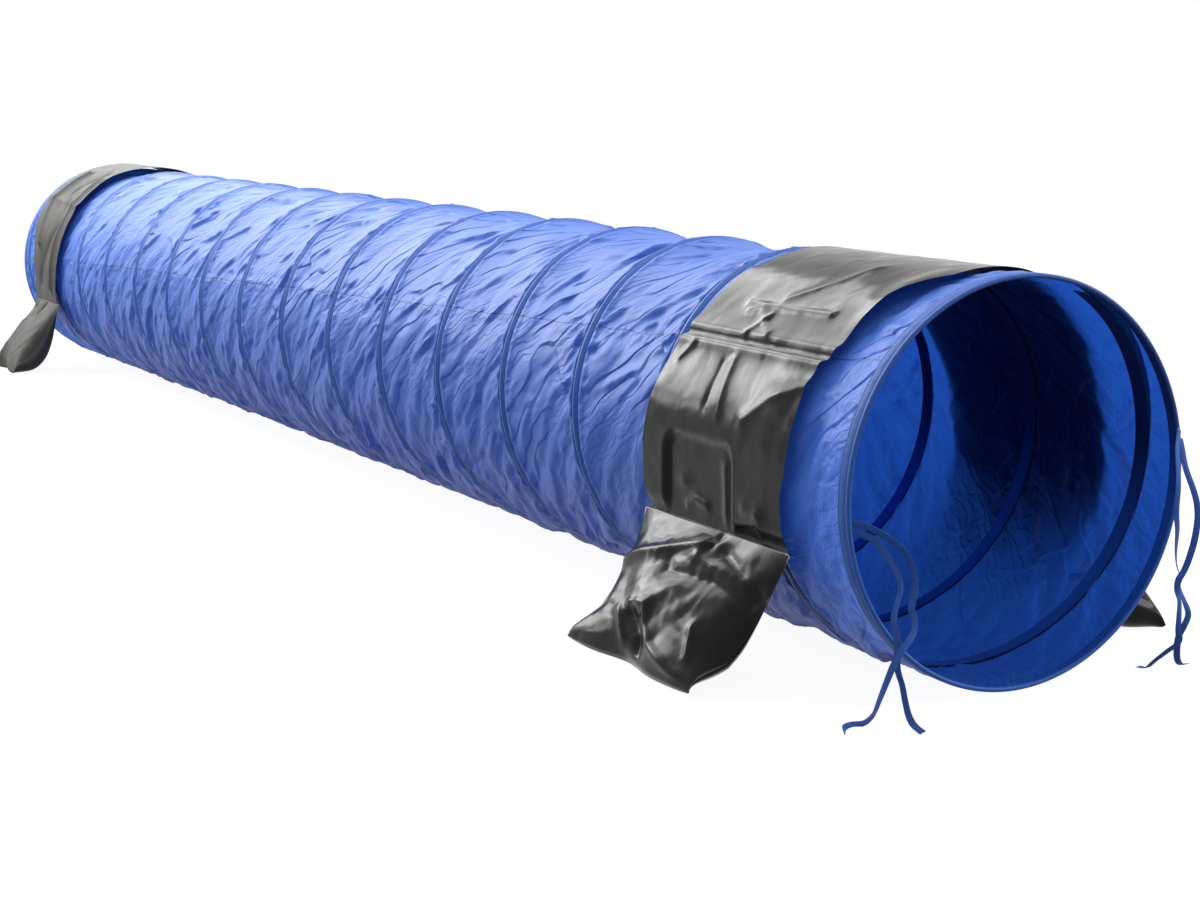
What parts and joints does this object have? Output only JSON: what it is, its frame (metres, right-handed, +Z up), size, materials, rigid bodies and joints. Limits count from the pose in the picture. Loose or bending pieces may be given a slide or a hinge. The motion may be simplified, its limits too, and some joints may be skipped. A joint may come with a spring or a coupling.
{
  "type": "dog agility tunnel",
  "caption": "Collapsible round fabric tunnel on a spiral spring wire, with a hooped hem at each mouth, tie ribbons at one, and saddle sandbags that hold it to the ground.",
  "frame": {"origin": "on the floor under the middle of the tunnel's length and width", "axes": "+Y along the tunnel from the front mouth, which has the ribbons, to the rear mouth; +Z up from the floor"},
  "size_m": [0.8854, 5.1385, 0.6018],
  "materials": {
    "skin": "thin coated blue polyester, crinkled, with a soft sheen",
    "hem": "blue polyester binding, smooth",
    "casing": "dark blue woven tape, matte",
    "wire": "spring steel wire, satin",
    "ribbon": "blue woven ribbon, matte",
    "vinyl": "black coated vinyl, gloss",
    "sand": "dry sand, matte",
    "closure": "black hook and loop tape, matte"
  },
  "bodies": {
    "section_01": {"skin_section_01": "skin", "wire_section_01": "wire", "casing_section_01": "casing"},
    "front_end": {"hem_front": "hem", "hoop_front": "wire", "tie_left_long": "ribbon", "tie_left_short": "ribbon", "tie_right_long": "ribbon", "tie_right_short": "ribbon"},
    "section_02": {"skin_section_02": "skin", "wire_section_02": "wire", "casing_section_02": "casing"},
    "section_03": {"skin_section_03": "skin", "wire_section_03": "wire", "casing_section_03": "casing"},
    "section_04": {"skin_section_04": "skin", "wire_section_04": "wire", "casing_section_04": "casing"},
    "section_05": {"skin_section_05": "skin", "wire_section_05": "wire", "casing_section_05": "casing"},
    "section_06": {"skin_section_06": "skin", "wire_section_06": "wire", "casing_section_06": "casing"},
    "section_07": {"skin_section_07": "skin", "wire_section_07": "wire", "casing_section_07": "casing"},
    "section_08": {"skin_section_08": "skin", "wire_section_08": "wire", "casing_section_08": "casing"},
    "rear_end": {"hem_rear": "hem", "hoop_rear": "wire"},
    "saddle_front": {"saddle_front_strap": "vinyl"},
    "saddle_front_left": {"saddle_front_bag_left": "vinyl", "saddle_front_sand_left": "sand", "saddle_front_closure_left": "closure"},
    "saddle_front_right": {"saddle_front_bag_right": "vinyl", "saddle_front_sand_right": "sand", "saddle_front_closure_right": "closure"},
    "saddle_rear": {"saddle_rear_strap": "vinyl"},
    "saddle_rear_left": {"saddle_rear_bag_left": "vinyl", "saddle_rear_sand_left": "sand", "saddle_rear_closure_left": "closure"},
    "saddle_rear_right": {"saddle_rear_bag_right": "vinyl", "saddle_rear_sand_right": "sand", "saddle_rear_closure_right": "closure"}
  },
  "joints": [
    {"name": "collapse", "type": "slide", "parent": "section_01", "child": "section_08", "axis": [0, -1, 0], "range_m": [0, 3.885], "deforming": ["skin_section_01", "wire_section_01", "casing_section_01", "skin_section_08", "wire_section_08", "casing_section_08"]},
    {"name": "collapse_front_end", "type": "slide", "parent": "section_01", "child": "front_end", "axis": [0, -1, 0], "range_m": [-0.309, 0]},
    {"name": "collapse_02", "type": "slide", "parent": "section_01", "child": "section_02", "axis": [0, -1, 0], "range_m": [0, 0.531], "deforming": ["skin_section_02", "wire_section_02", "casing_section_02"]},
    {"name": "collapse_03", "type": "slide", "parent": "section_01", "child": "section_03", "axis": [0, -1, 0], "range_m": [0, 1.09], "deforming": ["skin_section_03", "wire_section_03", "casing_section_03"]},
    {"name": "collapse_04", "type": "slide", "parent": "section_01", "child": "section_04", "axis": [0, -1, 0], "range_m": [0, 1.649], "deforming": ["skin_section_04", "wire_section_04", "casing_section_04"]},
    {"name": "collapse_05", "type": "slide", "parent": "section_01", "child": "section_05", "axis": [0, -1, 0], "range_m": [0, 2.208], "deforming": ["skin_section_05", "wire_section_05", "casing_section_05"]},
    {"name": "collapse_06", "type": "slide", "parent": "section_01", "child": "section_06", "axis": [0, -1, 0], "range_m": [0, 2.767], "deforming": ["skin_section_06", "wire_section_06", "casing_section_06"]},
    {"name": "collapse_07", "type": "slide", "parent": "section_01", "child": "section_07", "axis": [0, -1, 0], "range_m": [0, 3.325], "deforming": ["skin_section_07", "wire_section_07", "casing_section_07"]},
    {"name": "collapse_rear_end", "type": "slide", "parent": "section_01", "child": "rear_end", "axis": [0, -1, 0], "range_m": [0, 4.164]},
    {"name": "saddle_front_lift", "type": "slide", "parent": "section_01", "child": "saddle_front", "axis": [0, 0, 1], "range_m": [0, 0.65]},
    {"name": "saddle_front_left_swing", "type": "hinge", "parent": "saddle_front", "child": "saddle_front_left", "pos_m": [-0.3053, -2.155, 0.205], "axis": [0, 1, 0], "range_deg": [0, 80]},
    {"name": "saddle_front_right_swing", "type": "hinge", "parent": "saddle_front", "child": "saddle_front_right", "pos_m": [0.3053, -2.155, 0.205], "axis": [0, -1, 0], "range_deg": [0, 80]},
    {"name": "saddle_rear_lift", "type": "slide", "parent": "section_08", "child": "saddle_rear", "axis": [0, 0, 1], "range_m": [0, 0.65]},
    {"name": "saddle_rear_left_swing", "type": "hinge", "parent": "saddle_rear", "child": "saddle_rear_left", "pos_m": [-0.3053, 2.19, 0.205], "axis": [0, 1, 0], "range_deg": [0, 80]},
    {"name": "saddle_rear_right_swing", "type": "hinge", "parent": "saddle_rear", "child": "saddle_rear_right", "pos_m": [0.3053, 2.19, 0.205], "axis": [0, -1, 0], "range_deg": [0, 80]}
  ],
  "couplings": [
    {"joint": "collapse_front_end", "follows": "collapse", "ratio": -0.079402},
    {"joint": "collapse_02", "follows": "collapse", "ratio": 0.13636},
    {"joint": "collapse_03", "follows": "collapse", "ratio": 0.28021},
    {"joint": "collapse_04", "follows": "collapse", "ratio": 0.42405},
    {"joint": "collapse_05", "follows": "collapse", "ratio": 0.56789},
    {"joint": "collapse_06", "follows": "collapse", "ratio": 0.71174},
    {"joint": "collapse_07", "follows": "collapse", "ratio": 0.85558},
    {"joint": "collapse_rear_end", "follows": "collapse", "ratio": 1.0713}
  ]
}
